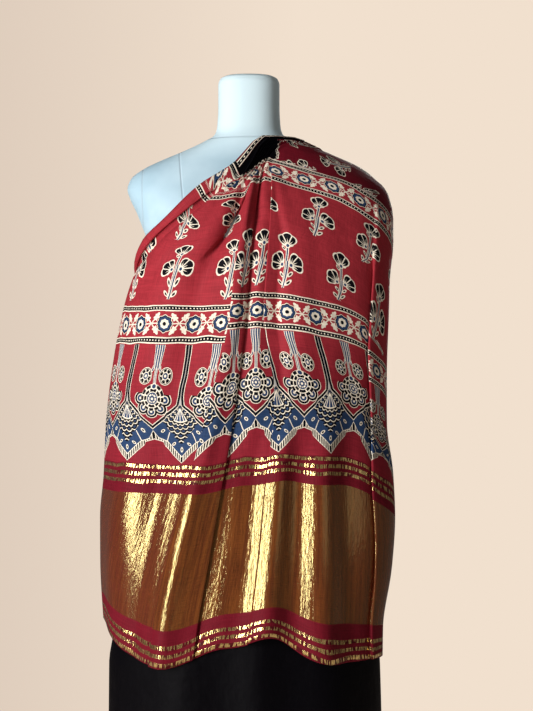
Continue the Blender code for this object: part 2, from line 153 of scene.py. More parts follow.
# Where seven threads lie at each row: row, then for each thread its turn round the body in
# degrees (0 front, 90 at +X, 180 back) and its height. The skirt hangs straight down
THREADS = (0.000, 0.080, 0.170, 0.491, 0.602, 0.845, 1.100)
WAIST_EDGE = 1.122
SKIRT_START, SKIRT_END = -3.066, -1.000
SKIRT_END_TURN = 240
ROWS = (
    (SKIRT_START, *((810, WAIST_EDGE - thread) for thread in THREADS)),
    (SKIRT_END, *((SKIRT_END_TURN, WAIST_EDGE - thread) for thread in THREADS)),
    (-0.620, (203, 1.235), (202, 1.19), (201, 1.14), (196, 0.96), (194, 0.895), (191, 0.755), (188, 0.6)),
    (-0.350, (165, 1.335), (163, 1.31), (160, 1.28), (154, 1.19), (153, 1.15), (152, 1.07), (158, 0.96)),
    (-0.200, (140, 1.405), (138, 1.4), (136, 1.392), (130, 1.37), (128, 1.35), (128, 1.27), (142, 1.12)),
    (-0.120, (92, 1.446), (94, 1.443), (97, 1.44), (105, 1.428), (106, 1.42), (106, 1.36), (128, 1.19)),
    (-0.060, (22, 1.449), (27, 1.444), (32, 1.442), (46, 1.44), (52, 1.438), (80, 1.405), (120, 1.215)),
    (0.000, (-16, 1.399), (-6, 1.374), (-2, 1.378), (17, 1.404), (22, 1.407), (60, 1.374), (117, 1.21)),
    (0.068, (-33, 1.367), (-25, 1.343), (-20, 1.344), (6, 1.361), (13, 1.365), (55, 1.333), (116, 1.165)),
    (0.180, (-54, 1.297), (-49, 1.284), (-38, 1.266), (-1, 1.281), (9, 1.284), (50, 1.249), (116, 1.08)),
    (0.230, (-76, 1.258), (-69, 1.24), (-56, 1.226), (-3, 1.232), (7, 1.237), (50, 1.205), (117, 1.045)),
    (0.296, (-116, 1.186), (-99, 1.182), (-79, 1.17), (-5, 1.167), (5, 1.171), (50, 1.15), (118, 0.995)),
    (0.358, (-128, 1.125), (-107, 1.118), (-81, 1.111), (-7, 1.114), (4, 1.116), (51, 1.096), (118, 0.945)),
    (0.470, (-134, 1.000), (-111, 0.998), (-84, 0.997), (-15, 0.988), (3, 1.000), (53, 0.994), (118, 0.86)),
    (0.624, (-134, 0.85), (-111, 0.842), (-84, 0.839), (-26, 0.84), (-2, 0.854), (49, 0.854), (116, 0.75)),
    (0.740, (-133, 0.752), (-112, 0.742), (-86, 0.738), (-33, 0.727), (-6, 0.745), (49, 0.745), (114, 0.675)),
    (0.856, (-132, 0.66), (-113, 0.65), (-88, 0.644), (-39, 0.614), (-11, 0.641), (50, 0.62), (112, 0.598)),
    (0.917, (-132, 0.606), (-114, 0.596), (-90, 0.588), (-41, 0.55), (-14, 0.582), (51, 0.553), (112, 0.552)),
)

# How far the piece beyond the outermost fold has dropped, as a share of SIDE_DROP, and how wide
# the slope down to it is
DROP_ROWS = (0.045, 0.200, 0.310, 0.450, 0.574, 0.624, 0.856, 0.917)
DROP_SHARES = (0, 0, 1.0, 0.9, 0.55, 0.65, 0.1, 0)
DROP_WIDTHS = (0.04, 0.04, 0.04, 0.05, 0.15, 0.15, 0.15, 0.15)

# Where the hem of the end panel waves upwards: place across the cloth, half width, lift by row
WAVE_ROWS = (0.440, 0.574, 0.624, 0.740, 0.856, 0.917)
WAVES = (
    (0.220, 0.100, (0, 0, 0, 0.006, 0.018, 0.027)),
    (0.705, 0.055, (0, 0.005, 0.009, 0.013, 0.020, 0.032)),
)

# Soft ridges along the hanging panel: place across the cloth, half width, and height at each row
RIDGE_ROWS = (0.045, 0.120, 0.324, 0.470, 0.624, 0.917)
RIDGES = (
    (0.026, 0.018, (0, 0.004, 0.003, 0, 0, 0)),
    (0.078, 0.014, (0, -0.006, -0.004, 0, 0, 0)),
    (0.170, 0.050, (0, 0.002, 0.004, 0.004, 0.004, 0.006)),
    (0.290, 0.048, (0, 0.004, 0.005, 0.007, 0.010, 0.004)),
    (0.386, 0.030, (0, -0.010, -0.010, -0.008, -0.007, -0.006)),
    (0.480, 0.024, (0, 0.006, 0.010, 0.009, 0.011, 0.013)),
    (0.546, 0.014, (0, -0.002, -0.005, -0.004, -0.003, 0)),
    (0.605, 0.022, (0, 0.003, 0.007, 0.007, 0.001, 0)),
    (0.620, 0.022, (0, 0, 0, 0, -0.006, -0.007)),
    (0.668, 0.016, (0, -0.005, -0.012, -0.006, 0, 0)),
    (0.690, 0.026, (0, 0, 0, 0.002, 0.010, 0.012)),
    (0.740, 0.034, (0, 0.003, 0.006, 0.006, 0, 0)),
    (0.742, 0.020, (0, 0, 0, 0, -0.004, -0.006)),
    (0.797, 0.032, (0, 0, 0, 0.002, 0.013, 0.015)),
    (0.850, 0.026, (0, -0.002, -0.002, -0.004, -0.006, -0.006)),
    (0.945, 0.030, (0, 0.002, 0.003, 0.004, 0.005, 0.006)),
    (1.040, 0.034, (0, -0.002, -0.004, -0.004, -0.005, -0.005)),
)

# The crease where the left piece lies over the cloth beside the first pleat: place and depth by
# row, the width of its step down, and how far beyond it the cloth takes to come back up
LEDGE_ROWS = (0.080, 0.105, 0.131, 0.160, 0.200, 0.235)
LEDGE_PLACES = (0.414, 0.393, 0.369, 0.335, 0.314, 0.300)
LEDGE_DEPTHS = (0, 0.011, 0.015, 0.016, 0.013, 0)
LEDGE_STEP = 0.005
LEDGE_FADE = 0.035

# Fine gathers where the cloth is drawn together beside the neck: half their depth by row, the
# width of one, and where across the cloth they have faded away
GATHER_ROWS = (-0.220, -0.120, -0.040, 0.030, 0.090)
GATHER_DEPTHS = (0, 0.0014, 0.0024, 0.0018, 0)
GATHER_WIDTH = 0.074
GATHER_END = 0.70
GATHER_FADE = 0.12

# Soft upright folds of the skirt: turn of each ridge in degrees, its half width and its height
SKIRT_RIDGES = (
    (-38, 13, 0.015),
    (6, 12, 0.013),
    (44, 11, 0.014),
    (84, 12, 0.010),
    (122, 12, 0.015),
    (160, 11, 0.012),
    (198, 12, 0.014),
    (236, 12, 0.013),
    (281, 12, 0.012),
)
SKIRT_RIDGE_HEIGHTS = (0.0, 0.60, 1.00, 1.50)
SKIRT_RIDGE_SHARES = (1.0, 0.7, 0.0, 0.0)

# Where the print lies on the hanging panel. For each row, the place in the print (mm) at one
# point of each piece between two folds; from there it runs on at its own scale
PRINT_SCALE = 0.91  # metres of draped cloth to a metre of print
SPLIT_ROW = 0.072  # up to this row the folds are closed, and the print runs on across them
CLOSED_MARK = (0.800, 0.797)  # there, a point of the cloth and its place in the print
NECK_PIECE_END = 0.290  # beyond this row the first piece is printed with the second
PIECE_STARTS = (0.0, 0.051, 0.436, 0.546, 0.652, 0.905)
PIECE_MARKS = (0.020, 0.390, 0.4912, 0.602, 0.800, 0.960)
PRINT_ROWS = (
    (0.075, 82, 273, 522, 632, 799, 990),
    (0.174, 82, 273, 522, 632, 799, 1005),
    (0.180, 28, 315, 512, 629, 806, 1010),
    (0.192, 28, 312, 512, 629, 806, 1010),
    (0.228, 28, 303, 512, 629, 806, 1010),
    (0.285, 28, 303, 512, 629, 806, 1010),
    (0.292, -60, 284, 495, 602, 776, 968),
    (0.358, -60, 282, 495, 602, 776, 968),
    (0.440, -60, 268, 481, 600, 768, 966),
    (0.500, -60, 250, 478, 596, 768, 960),
    (0.573, -60, 228, 470, 590, 759, 960),
)
# How much lower the print hangs on the left piece than the rows of the sheet, in mm, and where
# across the cloth that piece ends
PRINT_DROP_ROWS = (0.045, 0.085, 0.200, 0.240, 0.300, 0.450, 0.577)
PRINT_DROPS = (0, 22, 11, 2, 22, 20, 0)
LEFT_PIECE_END = 0.40
LEFT_PIECE_FADE = 0.03
# The same at the hem side: nothing up to the first place across the cloth, all from the second
SIDE_PRINT_ROWS = (-0.040, 0.020, 0.160, 0.240, 0.330, 0.577)
SIDE_PRINT_DROPS = (0, 24, 28, 20, 10, 0)
SIDE_PRINT_PLACES = (0.800, 0.960)
# Between these rows the inner pleat opens out, and the print runs on across it
OPENED_ROWS = (0.360, 0.440)
# The cloth place where the body's wide border begins, at each row of the shoulder, the rows from
# which and by which it holds, and the neck line's place in the print and share of the way there
BORDER_ROWS = (-0.400, -0.200, -0.120, -0.060, -0.045, -0.030, -0.015, 0.000)
BORDER_STARTS = (0.690, 0.500, 0.250, 0.250, 0.440, 0.590, 0.640, 0.675)
SHOULDER_PRINT = (-0.40, -0.15)
BORDER_PLACE = 0.690
NECK_LINE_PLACE = 0.019
NECK_LINE_SHARE = 0.14

# The print, in millimetres. One plant, two rosettes or one cup take up a module
MODULE = 110
HALF, QUARTER = MODULE / 2, MODULE / 4
BAND_MIDDLE = 34.5
BAND_PITCH = 290
BAND_ROWS = (-3, 363)  # from the first line of beads to the last
BEAD_LINE = 28.5  # from the middle of a band to the middle of its lines of beads
BEAD_PITCH = 6.4
BODY_LINES = (10, 690)  # across the cloth: beside the neck edge, and where the border begins
BODY_FIELD = (17, 690)
PLANT_MIDDLE = 126
PLANT_PITCH = 108
SECOND_PLANTS = 179  # where the second row of plants takes over from the first
ARCH_START = 359
PAINTED_SHADE_ROWS = (330, 480)  # where painted shade darkens the red of the panel, lower down
DEEPEST_SHADE_ROW = 572  # where the deepest painted shade on the panel begins
# Rows of smaller, turned plants on the body's border: where they begin, their pitches across and
# along the cloth, how many times smaller they are, and the room for each in its own millimetres
BORDER_PLANTS = 702
BORDER_PITCHES = (76, 66)
BORDER_SHRINK = 1.55
BORDER_ROOM = 118
# Woven gold lines: middle of the first, pitch, half width, and the rows where they begin and end
ZARI_LINES = (
    (577.5, 13, 3.3, 573, 608),
    (883.5, 14, 3.4, 879, 916),
)
FAR = 9999  # out of reach of every ink
SILK_THREAD = 1.496  # from thread to thread, as drawn
CANVAS_THREAD = 1.611

# How finely the sheet is divided
SKIRT_STEPS = 116
BACK_STEPS = 62
PANEL_ROW_STEPS = (54, 20, 6)  # down to the tissue, along it, and from it to the end
TURN_PLACES = np.linspace(-0.5, 0.5, 7)
PANEL_STEPS = (4, 44, 4, 6, 28, 14)
PROBE_STEP = 0.001
# Where the diagonal crease is deeper than this, the columns of points crowd beside it: by this
# share of their distance, within this width
LEAST_CREASE = 0.002
CROWDING = 0.75
CROWDED_WIDTH = 0.03

# Light boxes: name, place, the point they face, width and height, power in watts, and tint
SOFT_BOXES = (
    ("key", (-1.95, -2.15, 1.20), (0, 0, 1.15), (0.62, 2.2), 112, (1.0, 0.99, 0.98)),
    ("fill", (1.9, -1.9, 1.2), (0, 0, 0.9), (1.6, 1.6), 4, (1.0, 0.97, 0.94)),
    ("back_fill", (0.4, 2.6, 2.0), (0, 0, 1.0), (1.8, 1.8), 36, (1.0, 0.98, 0.96)),
)
CAMERA_PLACE = (0.031, -2.70, 1.070)
CAMERA_LENS = 77.4  # mm, on film 36 mm wide

# Colours of the dyes and yarns, and of painted shade on the madder, in sRGB
MADDER = "#9d2e37"
# Painted shade: the madder made darker lower on the end panel, where less light falls; the deepest one is
# also the dye of the body's border
PAINTED_SHADE_MADDER = "#86222e"
BORDER_MADDER_AND_END_SHADE = "#6a1522"
CREAM = "#ece2cf"
INDIGO = "#2b4062"
BUNDLE_BLUE = "#34486a"
IRON_BLACK = "#0e0d13"
BODY_BLACK = "#040306"
PALE_GREY = "#b7b2ac"
ZARI_GOLD = "#d9bd7c"
ZARI_CORE = "#4f1519"


def eased(at, knots, values):
    """A smooth curve through the values, which never swings past two neighbours."""
    at = np.asarray(at, float)
    knots = np.asarray(knots, float)
    values = np.asarray(values, float)
    width = np.diff(knots)
    slope = np.diff(values) / width
    before, after = slope[:-1], slope[1:]
    bends_one_way = before * after > 0
    tangent = np.zeros_like(values)
    both = np.where(bends_one_way, before + after, 1.0)
    tangent[1:-1] = np.where(bends_one_way, 2 * before * after / both, 0.0)
    tangent[0], tangent[-1] = slope[0], slope[-1]
    cell = np.clip(np.searchsorted(knots, at) - 1, 0, len(width) - 1)
    share = np.clip((at - knots[cell]) / width[cell], 0, 1)
    rise = share * share * (3 - 2 * share)
    level = values[cell] * (1 - rise) + values[cell + 1] * rise
    leaving = share * (1 - share) ** 2 * tangent[cell]
    arriving = share**2 * (1 - share) * tangent[cell + 1]
    return level + width[cell] * (leaving - arriving)


def smooth_step(share):
    """A slope from 0 to 1 that is level at both ends."""
    share = np.clip(share, 0, 1)
    return share * share * (3 - 2 * share)


def ramp(at, start, end):
    """The same slope, from 0 at the start to 1 at the end."""
    return smooth_step((at - start) / (end - start))


def level_cut(cuts, turn, height):
    """The point of a level cut that lies in the direction of turn, in radians from the front."""
    columns = np.array(cuts)
    left, right, front, back = (eased(height, columns[:, 0], columns[:, i]) for i in (1, 2, 3, 4))
    across, depth = np.sin(turn), np.cos(turn)
    side = np.where(across < 0, left, right)
    face = np.where(depth > 0, front, back)
    reach = (abs(across / side) ** ROUNDNESS + abs(depth / face) ** ROUNDNESS) ** (-1 / ROUNDNESS)
    return np.stack([reach * across, -reach * depth, height + 0 * reach], axis=-1)


def row_of_folds(v):
    """The folds met along one row: where cloth (u) and its folded run meet, and each turn."""
    cloth, run, turns = [0.0], [0.0], []
    for crease, side, deepest, hidden_by_row in FOLDS:
        hidden = float(eased(v, FOLD_ROWS, hidden_by_row))
        tuck = min(hidden, deepest)
        start = run[-1] + crease - hidden - cloth[-1]
        cloth += [crease - hidden, crease, crease + hidden]
        run += [start, start + tuck, start + 2 * tuck]
        first = start + tuck if side > 0 else start
        turns.append((first, first + tuck, side))
    run.append(run[-1] + CLOTH_WIDTH - cloth[-1])
    cloth.append(CLOTH_WIDTH)
    return cloth, run, turns


def lay_row(turns, length):
    """How far the folded run gets across the body, and how high it lies, at each probe."""
    probe = np.append(np.arange(0, length, PROBE_STEP), length)
    heading = np.zeros_like(probe)
    for first, second, side in turns:
        turned = smooth_step((probe - first) / TURN_WIDTH + 0.5)
        returned = smooth_step((probe - second) / TURN_WIDTH + 0.5)
        heading += side * math.pi * (turned - returned)
    gaps = np.diff(probe)
    level = np.cos(heading)
    rising = np.sin(heading)
    reach = np.append(0, np.cumsum(gaps * (level[1:] + level[:-1]) / 2))
    lift = np.append(0, np.cumsum(gaps * (rising[1:] + rising[:-1]) / 2))
    sink = np.zeros_like(probe)
    for first, second, side in turns:
        before, after = np.interp((first - TURN_WIDTH, second + TURN_WIDTH), probe, lift)
        clear_of_tuck = reach - np.interp(first, probe, reach) - TURN_WIDTH / 2
        sink += (after - before) * smooth_step(clear_of_tuck / SETTLE_WIDTH) * (probe > second)
    return probe, reach, lift - sink


def columns_of_row(v):
    """Places along the folded run where the sheet has a point: few on panels, more in turns."""
    cloth, run, turns = row_of_folds(v)
    places = [0.0]
    for (first, second, side), steps in zip(turns, PANEL_STEPS):
        apart = max(second - first, TURN_WIDTH * TURN_SPACING)
        middle = (first + second) / 2
        bends = list(middle - apart / 2 + TURN_WIDTH * TURN_PLACES)
        bends += list(middle + apart / 2 + TURN_WIDTH * TURN_PLACES)
        places += list(np.linspace(places[-1], bends[0], steps + 2)[1:-1])
        places += bends + [bends[-1] + apart]
    places += list(np.linspace(places[-1], run[-1], PANEL_STEPS[-1] + 2)[1:])
    places = np.array(places)
    from_ledge = places - np.interp(np.interp(v, LEDGE_ROWS, LEDGE_PLACES), cloth, run)
    creased = eased(v, LEDGE_ROWS, LEDGE_DEPTHS) > LEAST_CREASE
    crowded = CROWDING * creased * (places < turns[1][0] - TURN_WIDTH)
    return places - crowded * from_ledge * np.exp(-((from_ledge / CROWDED_WIDTH) ** 2))


def rounded_bumps(u, v, rows, table):
    """The sum of rounded bumps across the cloth: place, half width, and height at each row."""
    total = np.zeros_like(u)
    for place, half_width, by_row in table:
        total += eased(v, rows, by_row) * np.exp(-(((u - place) / half_width) ** 2))
    return total


def crease_ledge(u, v):
    """Height of the cloth beside the diagonal crease: a short step down, which fades away."""
    beyond = u - np.interp(v, LEDGE_ROWS, LEDGE_PLACES)
    depth = eased(v, LEDGE_ROWS, LEDGE_DEPTHS)
    return -depth * smooth_step(beyond / LEDGE_STEP) * np.exp(-np.clip(beyond, 0, None) / LEDGE_FADE)


def neck_gathers(u, v):
    """Height of the fine gathers beside the neck."""
    depth = eased(v, GATHER_ROWS, GATHER_DEPTHS) * smooth_step((GATHER_END - u) / GATHER_FADE)
    return depth * np.sin(u * math.tau / GATHER_WIDTH)


def side_drop(u, v):
    """How much lower the cloth hangs beyond the outermost fold."""
    width = eased(v, DROP_ROWS, DROP_WIDTHS)
    reached = smooth_step((u - FOLDS[-1][0]) / width + 0.5)
    return SIDE_DROP * eased(v, DROP_ROWS, DROP_SHARES) * reached


def skirt_ridges(turn, height):
    """Height of the skirt's upright folds, the same in every layer."""
    total = np.zeros_like(turn)
    for place, half_width, top in SKIRT_RIDGES:
        away = (np.degrees(turn) - place + 180) % 360 - 180
        total += top * np.exp(-((away / half_width) ** 2))
    return total * eased(height, SKIRT_RIDGE_HEIGHTS, SKIRT_RIDGE_SHARES)


def drape_surface(turn, height, over):
    """A point of the body of cloth: of the skirt (over 0), of the hanging panel (over 1)."""
    inner = level_cut(SKIRT_CUTS, turn, height)
    outer = level_cut(DRAPE_CUTS, turn, height)
    return inner + (outer - inner) * over


def outward(turn, height, over):
    """The direction straight out of the body of cloth."""
    nudge = 0.002
    round_it = drape_surface(turn + nudge, height, over) - drape_surface(turn - nudge, height, over)
    up_it = drape_surface(turn, height + nudge, over) - drape_surface(turn, height - nudge, over)
    normal = np.cross(round_it, up_it)
    return normal / np.linalg.norm(normal, axis=-1, keepdims=True)


def cloth_row(v):
    """The points of the row of cloth at v, and how far across the flat cloth each one is."""
    run_places = columns_of_row(max(v, FOLDED_ROW))
    cloth, run, turns = row_of_folds(max(v, FOLDED_ROW))
    u = np.interp(run_places, run, cloth)
    if v < FOLDED_ROW:
        turns = []
        run = list(cloth)
        run_places = u
    probe, reach, lift = lay_row(turns, run[-1])
    across = np.interp(run_places, probe, reach)
    thread_reach = np.interp(np.interp(THREADS, cloth, run), probe, reach)
    table_rows = [row[0] for row in ROWS]
    turn_at = [eased(v, table_rows, [row[i + 1][0] for row in ROWS]) for i in range(len(THREADS))]
    height_at = [eased(v, table_rows, [row[i + 1][1] for row in ROWS]) for i in range(len(THREADS))]
    turn = np.radians(eased(across, thread_reach, turn_at))
    height = eased(across, thread_reach, height_at)
    waves = rounded_bumps(u, v, WAVE_ROWS, WAVES) * (v > WAVE_ROWS[0])
    height = height + waves - side_drop(u, v)
    over = float(ramp(v, SKIRT_END, SHOULDER_ROW))
    stack = LAYER_STEP * np.clip(np.degrees(turn) - SKIRT_END_TURN, 0, None) / 360
    flat_place = np.interp(across, thread_reach, THREADS)
    ridges = rounded_bumps(flat_place, v, RIDGE_ROWS, RIDGES) * (v > FOLDED_ROW)
    rise = np.interp(run_places, probe, lift) + ridges
    rise = rise - stack * (v <= SKIRT_END) + skirt_ridges(turn, height) * (1 - over)
    rise = rise + crease_ledge(u, v) + neck_gathers(flat_place, v)
    points = drape_surface(turn, height, over) + rise[:, None] * outward(turn, height, over)
    return points, u


def print_across(v, u, points):
    """How far across the print each point of a row lies, in metres."""
    steps = np.linalg.norm(np.diff(points, axis=0), axis=1)
    arc = np.append(0, np.cumsum(steps))
    if v < 0:
        border = float(np.interp(eased(v, BORDER_ROWS, BORDER_STARTS), u, arc))
        marks = (0, NECK_LINE_SHARE * border, border, border + 1)
        places = (0, NECK_LINE_PLACE, BORDER_PLACE, BORDER_PLACE + 1 / PRINT_SCALE)
        return u + (np.interp(arc, marks, places) - u) * ramp(v, *SHOULDER_PRINT)
    if v < SPLIT_ROW:
        mark, place = CLOSED_MARK
        return place + (arc - np.interp(mark, u, arc)) / PRINT_SCALE
    rows = np.array(PRINT_ROWS)
    piece = np.searchsorted(PIECE_STARTS, u, side="right") - 1
    if v > NECK_PIECE_END:
        piece = np.maximum(piece, 1)
    dropped = v - eased(v, PRINT_DROP_ROWS, PRINT_DROPS) / 1000
    found_at = (dropped, dropped, v, v, v, v)
    marks = [np.interp(at, rows[:, 0], column) for at, column in zip(found_at, rows.T[1:])]
    marks = np.array(marks) / 1000
    arc_marks = np.interp(PIECE_MARKS, u, arc)
    place = marks[piece] + (arc - arc_marks[piece]) / PRINT_SCALE
    opened = ramp(v, *OPENED_ROWS)
    across = (PIECE_MARKS[3] < u) & (u < PIECE_MARKS[4])
    return place + (np.interp(arc, arc_marks, marks) - place) * opened * across


def print_along(v, u):
    """How far along the print each point of a row lies, in metres."""
    drop = eased(v, PRINT_DROP_ROWS, PRINT_DROPS) / 1000
    side = eased(v, SIDE_PRINT_ROWS, SIDE_PRINT_DROPS) / 1000
    to_side = ramp(u, *SIDE_PRINT_PLACES)
    to_right = smooth_step((u - LEFT_PIECE_END) / LEFT_PIECE_FADE)
    return v - drop * (1 - to_right) - side * to_side


def rows_of_cloth():
    """The rows of the sheet, closer together on the hanging panel."""
    stops = (FOLDED_ROW, *TISSUE_ROWS, END_ROW)
    rows = list(np.linspace(SKIRT_START, SKIRT_END, SKIRT_STEPS + 1))
    rows += list(np.linspace(SKIRT_END, FOLDED_ROW, BACK_STEPS + 1)[1:])
    for start, end, steps in zip(stops, stops[1:], PANEL_ROW_STEPS):
        rows += list(np.linspace(start, end, steps + 1)[1:])
    return rows


def set_out(name, data, place=(0, 0, 0), turn=(0, 0, 0)):
    """An object in the scene that holds the data, at a place and turned."""
    made = bpy.data.objects.new(name, data)
    made.location, made.rotation_euler = place, turn
    bpy.context.scene.collection.objects.link(made)
    return made


def place_object(name, mesh, *finishes):
    """A piece at the origin, from a bmesh, with its finishes in its material slots."""
    data = bpy.data.meshes.new(name)
    mesh.to_mesh(data)
    mesh.free()
    data.shade_smooth()
    for finish in finishes:
        data.materials.append(finish)
    return set_out(name, data)


def laid_grid(points):
    """A bmesh grid with its vertices on rows of points."""
    mesh = bmesh.new()
    down, across = points.shape[0] - 1, points.shape[1] - 1
    bmesh.ops.create_grid(mesh, x_segments=across, y_segments=down, size=0.5)
    mesh.verts.index_update()
    for vert, place in zip(mesh.verts, points.reshape(-1, 3)):
        vert.co = place
    return mesh


def saree_cloth(silk, tissue):
    """The saree: a grid laid row by row on its folds, then given the thickness of the silk."""
    rows = rows_of_cloth()
    laid = [cloth_row(v) for v in rows]
    mesh = laid_grid(np.array([points for points, u in laid]))
    flat = [
        place
        for v, (points, u) in zip(rows, laid)
        for place in zip(print_across(v, u, points), print_along(v, u))
    ]
    sheet_map = mesh.loops.layers.uv.new("flat_cloth")
    for face in mesh.faces:
        middle = np.mean([flat[vert.index][1] for vert in face.verts])
        face.material_index = int(TISSUE_ROWS[0] < middle < TISSUE_ROWS[1])
        for loop in face.loops:
            loop[sheet_map].uv = flat[loop.vert.index]
    made = place_object("saree_cloth", mesh, silk, tissue)
    thick = made.modifiers.new("silk_thickness", "SOLIDIFY")
    thick.thickness = SILK_THICKNESS
    thick.offset = 0.0
    return made


def linear(colour):
    """An sRGB hex colour as linear red, green, blue and a full alpha."""
    parts = [int(colour[i : i + 2], 16) / 255 for i in (1, 3, 5)]
    return (*(c / 12.92 if c <= 0.04045 else ((c + 0.055) / 1.055) ** 2.4 for c in parts), 1.0)


def add_node(tree, kind, *inputs, sockets=None, **settings):
    """Adds one node and gives its first output in use. A kind in capitals is a Math operation,
    and a text among the inputs is an sRGB colour."""
    if kind.replace("_", "").isupper():
        kind, settings = "Math", {"operation": kind}
    node = tree.nodes.new("ShaderNode" + kind)
    for name, value in settings.items():
        setattr(node, name, value)
    given = list(zip([socket for socket in node.inputs if socket.enabled], inputs))
    given += [(node.inputs[name], value) for name, value in (sockets or {}).items()]
    for socket, value in given:
        if isinstance(value, bpy.types.NodeSocket):
            tree.links.new(value, socket)
        elif isinstance(value, str):
            socket.default_value = linear(value)
        else:
            socket.default_value = value
    return next((socket for socket in node.outputs if socket.enabled), None)


def new_finish(name, kind="materials"):
    """A material, or a world, without nodes, and the function that adds nodes to it."""
    made = getattr(bpy.data, kind).new(name)
    made.use_nodes = True
    made.node_tree.nodes.clear()
    return made, functools.partial(add_node, made.node_tree)


def finish_surface(add, bump=(), **sockets):
    """The material's shader, with its sockets by name, joined to the output. A bump is given as
    its strength, distance and height."""
    named = {name.replace("_", " "): value for name, value in sockets.items()}
    if bump:
        named["Normal"] = add("Bump", sockets=dict(zip(("Strength", "Distance", "Height"), bump)))
    add("OutputMaterial", add("BsdfPrincipled", sockets=named))


def all_of(add, *numbers):
    """1 where all the numbers are 1."""
    return functools.reduce(functools.partial(add, "MULTIPLY"), numbers)


def lay(add, under, ink, *where):
    """Prints an ink over the colour under it, where all the numbers are 1."""
    return add("Mix", all_of(add, *where), under, ink, data_type="RGBA")


def rings(add, under, away, *inks):
    """Prints discs on each other: (reach, ink) pairs, the largest reach first."""
    for reach, ink in inks:
        under = lay(add, under, ink, add("LESS_THAN", away, reach))
    return under


def length(add, x, y):
    """How far the place (x, y) is from the origin."""
    return add("VectorMath", add("CombineXYZ", x, y), operation="LENGTH")


def apart(add, number, other):
    """How far two numbers are apart."""
    return add("ABSOLUTE", add("SUBTRACT", number, other))


def between(add, number, low, high):
    """1 where the number lies between two values."""
    return add("LESS_THAN", apart(add, number, (low + high) / 2), (high - low) / 2)


def only_between(add, away, number, low, high):
    """The distance to a shape, put out of reach where the number isn't between two values."""
    return add("MULTIPLY_ADD", add("SUBTRACT", 1, between(add, number, low, high)), FAR, away)


def bent_line(add, along, *corners):
    """The height of a line through its corners, each (along, height)."""
    height = corners[0][1]
    for (start, low), (end, high) in zip(corners, corners[1:]):
        height = add("ADD", height, add("MapRange", along, start, end, 0, high - low))
    return height


def oval(add, place, centre, turn, half_sizes):
    """How far a place is from the middle of a turned oval: 1 on its edge."""
    sizes = (*half_sizes, 1)
    local = add("Mapping", place, (*centre, 0), (0, 0, math.radians(turn)), sizes, vector_type="TEXTURE")
    return add("VectorMath", local, operation="LENGTH")


def leaves(add, under, place, *ovals):
    """Prints cream leaves with black hearts: centre, turn and half sizes of each."""
    for centre, turn, half_sizes in ovals:
        leaf = oval(add, place, centre, turn, half_sizes)
        under = rings(add, under, leaf, (1.0, CREAM), (0.5, IRON_BLACK))
    return under


def dashes(add, under, x, y, radius, half_width, count, ink):
    """Prints a ring of short dashes round the origin."""
    angle = add("MULTIPLY", add("ARCTAN2", y, x), count / math.tau)
    dash = between(add, add("WRAP", angle, 0.5, -0.5), -0.38, 0.38)
    ring = between(add, length(add, x, y), radius - half_width, radius + half_width)
    return lay(add, under, ink, dash, ring)


def printed_ground(add, u, v, body):
    """Madder red on the end panel, with painted shade that darkens it lower down and most at its end, and a
    deeper madder dye on the body, whose field is black.
    """
    # Painted shade: the red darkens from the arch row down, and most from the end's gold lines on
    red = lay(add, MADDER, PAINTED_SHADE_MADDER, add("MapRange", v, *PAINTED_SHADE_ROWS))
    deep = add("MAXIMUM", body, add("GREATER_THAN", v, DEEPEST_SHADE_ROW))
    ground = lay(add, red, BORDER_MADDER_AND_END_SHADE, deep)
    return lay(add, ground, BODY_BLACK, body, between(add, u, *BODY_FIELD))


def dotted_lines(add, under, u, v, body, band_away):
    """Black lines of cream beads between cream edges, along the bands and the body's borders."""
    from_band = apart(add, band_away, BEAD_LINE)
    neck, border = (apart(add, u, line) for line in BODY_LINES)
    off_body = add("MULTIPLY", add("SUBTRACT", 1, body), FAR)
    away = add("MINIMUM", from_band, add("ADD", add("MINIMUM", neck, border), off_body))
    under = rings(add, under, away, (5.6, CREAM), (3.5, IRON_BLACK))
    along = add("WRAP", add("Mix", body, u, v), BEAD_PITCH / 2, -BEAD_PITCH / 2)
    return rings(add, under, length(add, away, along), (1.3, CREAM))


def rosettes(add, under, u, band_away):
    """Indigo rosettes of eight scallops along a band, two to a module."""
    x = add("WRAP", u, QUARTER, -QUARTER)
    scallop = add("COSINE", add("MULTIPLY", add("ARCTAN2", band_away, x), 8))
    away = add("MULTIPLY", length(add, x, band_away), add("MULTIPLY_ADD", scallop, -0.06, 1))
    inks = ((15.8, CREAM), (14.6, IRON_BLACK), (12.9, INDIGO), (8.6, CREAM), (3.5, IRON_BLACK))
    return rings(add, under, away, *inks)


def crossed_leaves(add, under, u, band_away):
    """Four cream leaves of three points round a knot, halfway between the rosettes."""
    x = add("ABSOLUTE", add("WRAP", add("SUBTRACT", u, QUARTER), QUARTER, -QUARTER))
    place = add("CombineXYZ", x, band_away)
    for centre, turn, sizes in (
        ((10.6, 12.6), 52, (8.6, 3.4)),
        ((9.4, 10.6), 6, (6.6, 2.5)),
        ((9.4, 10.6), 98, (6.6, 2.5)),
        ((4.5, 5.2), 50, (7.0, 1.2)),
    ):
        under = rings(add, under, oval(add, place, centre, turn, sizes), (1.0, CREAM))
    return lay(add, under, CREAM, between(add, x, -1, 13.5), add("LESS_THAN", band_away, 1.0))


